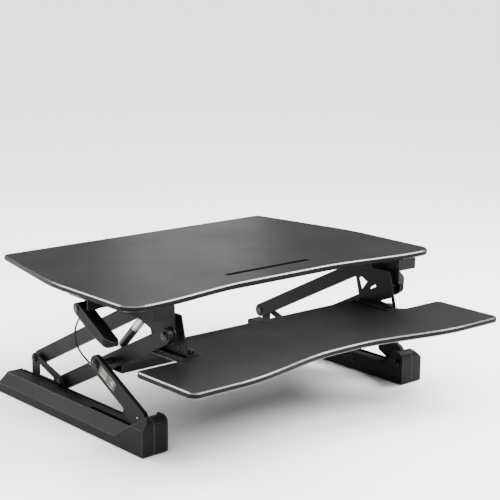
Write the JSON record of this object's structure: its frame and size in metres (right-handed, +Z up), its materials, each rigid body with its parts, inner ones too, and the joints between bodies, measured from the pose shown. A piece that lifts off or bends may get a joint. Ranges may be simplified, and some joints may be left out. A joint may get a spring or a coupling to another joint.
{
  "type": "standing desk converter",
  "caption": "Two-tier sit-stand desk converter: a black desktop board and a keyboard tray on a side scissor linkage with a gas spring, release levers and sliding feet.",
  "frame": {"origin": "on the table surface under the middle of the outline", "axes": "+X to the user's right, +Y away from the user to the rear, +Z up"},
  "size_m": [0.908, 0.794, 0.327],
  "materials": {
    "laminate_board": "black melamine laminate on board, very fine grain, satin",
    "powder_coat": "black satin powder coat",
    "moulded_plastic": "black matte with a fine moulded texture",
    "lever_plastic": "black, slightly glossy",
    "zinc_steel": "bright zinc plate",
    "dark_steel": "black painted tube",
    "nylon": "natural nylon",
    "rubber": "black, matte",
    "cable_jacket": "black jacket, semi-matte"
  },
  "bodies": {
    "base": {"foot_rail_left": "powder_coat", "foot_cover_left": "moulded_plastic", "foot_front_cap_left": "moulded_plastic", "foot_pad_front_left": "rubber", "foot_pad_rear_left": "rubber", "strut_pin_left": "dark_steel", "foot_rail_right": "powder_coat", "foot_cover_right": "moulded_plastic", "foot_front_cap_right": "moulded_plastic", "foot_pad_front_right": "rubber", "foot_pad_rear_right": "rubber", "strut_pin_right": "dark_steel"},
    "strut_left": {"strut_left": "powder_coat"},
    "strut_right": {"strut_right": "powder_coat"},
    "lower_arms": {"cross_tube": "powder_coat", "lower_arm_left": "powder_coat", "middle_pin_left": "dark_steel", "lower_arm_right": "powder_coat", "middle_pin_right": "dark_steel", "gas_lower_pin": "zinc_steel"},
    "carriage_left": {"carriage_left": "powder_coat", "glide_block_left": "nylon", "lower_rear_pin_left": "dark_steel", "upper_rear_pin_left": "dark_steel"},
    "carriage_right": {"carriage_right": "powder_coat", "glide_block_right": "nylon", "lower_rear_pin_right": "dark_steel", "upper_rear_pin_right": "dark_steel"},
    "top_frame": {"desktop": "laminate_board", "keyboard_tray": "laminate_board", "cross_rail_front": "powder_coat", "cross_rail_rear": "powder_coat", "top_bracket_left": "powder_coat", "lower_front_pin_left": "dark_steel", "upper_front_pin_left": "dark_steel", "tray_hanger_left": "powder_coat", "lever_bracket_left": "powder_coat", "lever_pin_left": "dark_steel", "cable_clip_left": "lever_plastic", "top_bracket_right": "powder_coat", "lower_front_pin_right": "dark_steel", "upper_front_pin_right": "dark_steel", "tray_hanger_right": "powder_coat", "lever_bracket_right": "powder_coat", "lever_pin_right": "dark_steel", "cable_clip_right": "lever_plastic", "gas_upper_pin": "zinc_steel", "release_cable": "cable_jacket", "crossover_cable": "cable_jacket"},
    "upper_arm_left": {"upper_arm_left": "powder_coat"},
    "upper_arm_right": {"upper_arm_right": "powder_coat"},
    "gas_cylinder": {"gas_cylinder": "dark_steel"},
    "gas_rod": {"gas_rod": "zinc_steel"},
    "release_lever_left": {"release_lever_left": "lever_plastic"},
    "release_lever_right": {"release_lever_right": "lever_plastic"},
    "tray_knob_left": {"tray_knob_left": "lever_plastic"},
    "tray_knob_right": {"tray_knob_right": "lever_plastic"}
  },
  "joints": [
    {"name": "lift", "type": "hinge", "parent": "base", "child": "strut_left", "pos_m": [-0.389, -0.17, 0.052], "axis": [1, 0, 0], "range_deg": [-23.2, 13.2]},
    {"name": "strut_foot_right", "type": "hinge", "parent": "base", "child": "strut_right", "pos_m": [0.389, -0.17, 0.052], "axis": [1, 0, 0], "range_deg": [-23.25, 13.25]},
    {"name": "middle_pivot", "type": "hinge", "parent": "strut_left", "child": "lower_arms", "pos_m": [-0.346, 0.022, 0.1495], "axis": [1, 0, 0], "range_deg": [-26.45, 46.45]},
    {"name": "carriage_pivot_left", "type": "hinge", "parent": "lower_arms", "child": "carriage_left", "pos_m": [-0.346, 0.214, 0.052], "axis": [1, 0, 0], "range_deg": [-23.25, 13.25]},
    {"name": "carriage_pivot_right", "type": "hinge", "parent": "lower_arms", "child": "carriage_right", "pos_m": [0.346, 0.214, 0.052], "axis": [1, 0, 0], "range_deg": [-23.25, 13.25]},
    {"name": "lower_front_pivot", "type": "hinge", "parent": "lower_arms", "child": "top_frame", "pos_m": [0, -0.17, 0.247], "axis": [1, 0, 0], "range_deg": [-23.25, 13.25], "deforming": ["release_cable"]},
    {"name": "upper_front_pivot_left", "type": "hinge", "parent": "top_frame", "child": "upper_arm_left", "pos_m": [-0.346, -0.064, 0.281], "axis": [1, 0, 0], "range_deg": [-13.25, 23.25]},
    {"name": "upper_front_pivot_right", "type": "hinge", "parent": "top_frame", "child": "upper_arm_right", "pos_m": [0.346, -0.064, 0.281], "axis": [1, 0, 0], "range_deg": [-13.25, 23.25]},
    {"name": "gas_rod_pivot", "type": "hinge", "parent": "lower_arms", "child": "gas_rod", "pos_m": [-0.325, 0.0564, 0.14], "axis": [1, 0, 0], "range_deg": [-1.42, 2.46]},
    {"name": "gas_cylinder_pivot", "type": "hinge", "parent": "top_frame", "child": "gas_cylinder", "pos_m": [-0.325, -0.1, 0.298], "axis": [1, 0, 0], "range_deg": [-14.62, 25.66]},
    {"name": "lever_squeeze_left", "type": "hinge", "parent": "top_frame", "child": "release_lever_left", "pos_m": [-0.436, 0.007, 0.287], "axis": [-1, 0, 0], "range_deg": [0, 15], "stiffness_Nm_per_rad": 2, "springref_deg": -34.38},
    {"name": "knob_turn_left", "type": "hinge", "parent": "top_frame", "child": "tray_knob_left", "pos_m": [-0.3, -0.19, 0.205], "axis": [0, 0, 1], "range_deg": [-180, 180]},
    {"name": "lever_squeeze_right", "type": "hinge", "parent": "top_frame", "child": "release_lever_right", "pos_m": [0.436, 0.007, 0.287], "axis": [-1, 0, 0], "range_deg": [0, 15], "stiffness_Nm_per_rad": 2, "springref_deg": -34.38},
    {"name": "knob_turn_right", "type": "hinge", "parent": "top_frame", "child": "tray_knob_right", "pos_m": [0.3, -0.19, 0.205], "axis": [0, 0, 1], "range_deg": [-180, 180]}
  ],
  "couplings": [
    {"joint": "strut_foot_right", "follows": "lift", "ratio": 1},
    {"joint": "middle_pivot", "follows": "lift", "ratio": -2},
    {"joint": "carriage_pivot_left", "follows": "lift", "ratio": 1},
    {"joint": "carriage_pivot_right", "follows": "lift", "ratio": 1},
    {"joint": "lower_front_pivot", "follows": "lift", "ratio": 1},
    {"joint": "upper_front_pivot_left", "follows": "lift", "ratio": -1},
    {"joint": "upper_front_pivot_right", "follows": "lift", "ratio": -1},
    {"joint": "gas_rod_pivot", "follows": "lift", "ratio": -0.104},
    {"joint": "gas_cylinder_pivot", "follows": "lift", "ratio": -1.104}
  ]
}
